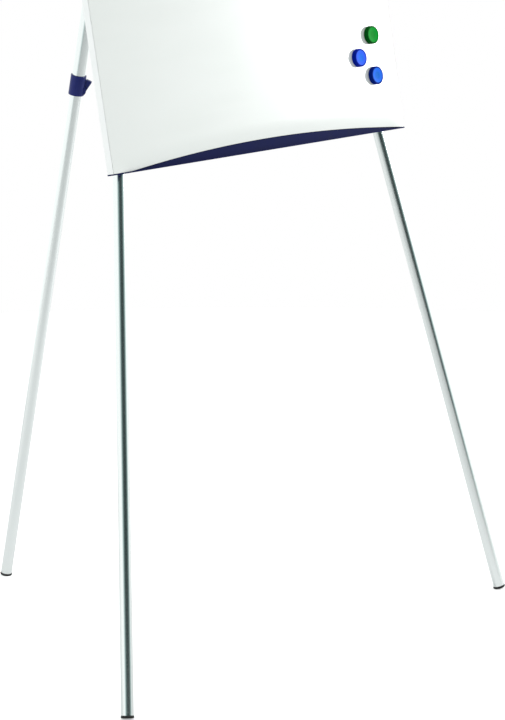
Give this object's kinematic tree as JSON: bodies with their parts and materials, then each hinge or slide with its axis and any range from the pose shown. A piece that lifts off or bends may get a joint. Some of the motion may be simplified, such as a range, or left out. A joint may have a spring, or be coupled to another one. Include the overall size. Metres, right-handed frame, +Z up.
{
  "type": "flipchart easel",
  "caption": "Tripod flipchart easel: magnetic drywipe board on telescopic tube legs with clamp collars, pad clamp, sliding pad hooks and round magnets.",
  "frame": {"origin": "on the floor, at the centre of the footprint's bounding box", "axes": "+Z up, +X along the board's width to the writer's right, -Y towards the writer"},
  "size_m": [0.9508, 0.7468, 1.795],
  "materials": {
    "board_white": "glossy white enamel for dry markers",
    "rim_white": "satin white",
    "core_board": "raw fibreboard edge",
    "back_steel": "grey coil coating",
    "navy_plastic": "moulded, fine grain",
    "aluminium": "satin anodised, drawn along its length",
    "steel": "bright zinc plate",
    "black_rubber": "matte",
    "black_plastic": "moulded",
    "green_plastic": "glossy with a fine moulded grain",
    "blue_plastic": "glossy with a fine moulded grain",
    "ferrite": "sintered"
  },
  "bodies": {
    "easel_frame": {"writing_panel": "board_white", "board_core": "core_board", "back_sheet": "back_steel", "left_rim": "rim_white", "right_rim": "rim_white", "top_rim": "rim_white", "bottom_rail": "navy_plastic", "rail_screws": "steel", "clamp_base": "aluminium", "left_clamp_end": "navy_plastic", "right_clamp_end": "navy_plastic", "clamp_screws": "steel", "jaw_pins": "steel", "jaw_springs": "steel", "head_block": "navy_plastic", "head_screws": "steel", "hinge_pin": "steel", "hinge_clip": "steel", "left_bracket": "navy_plastic", "right_bracket": "navy_plastic", "bracket_screws": "steel", "left_upper_tube": "aluminium", "right_upper_tube": "aluminium", "left_tube_cap": "navy_plastic", "right_tube_cap": "navy_plastic", "left_collar": "navy_plastic", "right_collar": "navy_plastic", "left_grip_bush": "black_plastic", "right_grip_bush": "black_plastic", "left_lever_pin": "steel", "right_lever_pin": "steel"},
    "jaw": {"clamp_jaw": "aluminium", "jaw_grip": "black_rubber"},
    "left_hook": {"left_pad_hook": "navy_plastic"},
    "right_hook": {"right_pad_hook": "navy_plastic"},
    "left_extension": {"left_lower_tube": "aluminium", "left_glide_plug": "black_plastic", "left_foot": "black_rubber"},
    "right_extension": {"right_lower_tube": "aluminium", "right_glide_plug": "black_plastic", "right_foot": "black_rubber"},
    "rear_leg": {"rear_upper_tube": "aluminium", "rear_knuckle": "navy_plastic", "rear_collar": "navy_plastic", "rear_grip_bush": "black_plastic", "rear_lever_pin": "steel"},
    "rear_extension": {"rear_lower_tube": "aluminium", "rear_glide_plug": "black_plastic", "rear_foot": "black_rubber"},
    "left_latch": {"left_lever": "navy_plastic"},
    "right_latch": {"right_lever": "navy_plastic"},
    "rear_latch": {"rear_lever": "navy_plastic"},
    "green_magnet": {"green_magnet_cap": "green_plastic", "green_magnet_disc": "ferrite"},
    "upper_blue_magnet": {"upper_blue_magnet_cap": "blue_plastic", "upper_blue_magnet_disc": "ferrite"},
    "lower_blue_magnet": {"lower_blue_magnet_cap": "blue_plastic", "lower_blue_magnet_disc": "ferrite"}
  },
  "joints": [
    {"name": "rear_leg_fold", "type": "hinge", "parent": "easel_frame", "child": "rear_leg", "pos_m": [0, -0.02619, 1.69059], "axis": [-1, 0, 0], "range_deg": [0, 23]},
    {"name": "left_leg_slide", "type": "slide", "parent": "easel_frame", "child": "left_extension", "axis": [0.1874, 0.1706, 0.9674], "range_m": [-0.07, 0.64]},
    {"name": "right_leg_slide", "type": "slide", "parent": "easel_frame", "child": "right_extension", "axis": [-0.1874, 0.1706, 0.9674], "range_m": [-0.07, 0.64]},
    {"name": "rear_leg_slide", "type": "slide", "parent": "rear_leg", "child": "rear_extension", "axis": [0, -0.225, 0.9744], "range_m": [-0.07, 0.64]},
    {"name": "left_lever_flip", "type": "hinge", "parent": "easel_frame", "child": "left_latch", "pos_m": [-0.29942, -0.19925, 0.85769], "axis": [-0.9823, 0.0325, 0.1845], "range_deg": [0, 95]},
    {"name": "right_lever_flip", "type": "hinge", "parent": "easel_frame", "child": "right_latch", "pos_m": [0.29942, -0.19925, 0.85769], "axis": [-0.9823, -0.0325, -0.1845], "range_deg": [0, 95]},
    {"name": "rear_lever_flip", "type": "hinge", "parent": "rear_leg", "child": "rear_latch", "pos_m": [0.00848, 0.15427, 0.86394], "axis": [0.766, 0.6263, 0.1446], "range_deg": [0, 95]},
    {"name": "jaw_open", "type": "hinge", "parent": "easel_frame", "child": "jaw", "pos_m": [0, -0.08669, 1.78803], "axis": [-1, 0, 0], "range_deg": [0, 75], "stiffness_Nm_per_rad": 0.4, "springref_deg": -17.19},
    {"name": "left_hook_slide", "type": "slide", "parent": "easel_frame", "child": "left_hook", "axis": [1, 0, 0], "range_m": [-0.08, 0.12]},
    {"name": "right_hook_slide", "type": "slide", "parent": "easel_frame", "child": "right_hook", "axis": [1, 0, 0], "range_m": [-0.12, 0.08]},
    {"name": "green_magnet_lift", "type": "slide", "parent": "easel_frame", "child": "green_magnet", "axis": [0, -0.9848, 0.1736], "range_m": [0, 0.04]},
    {"name": "upper_blue_magnet_lift", "type": "slide", "parent": "easel_frame", "child": "upper_blue_magnet", "axis": [0, -0.9848, 0.1736], "range_m": [0, 0.04]},
    {"name": "lower_blue_magnet_lift", "type": "slide", "parent": "easel_frame", "child": "lower_blue_magnet", "axis": [0, -0.9848, 0.1736], "range_m": [0, 0.04]}
  ]
}
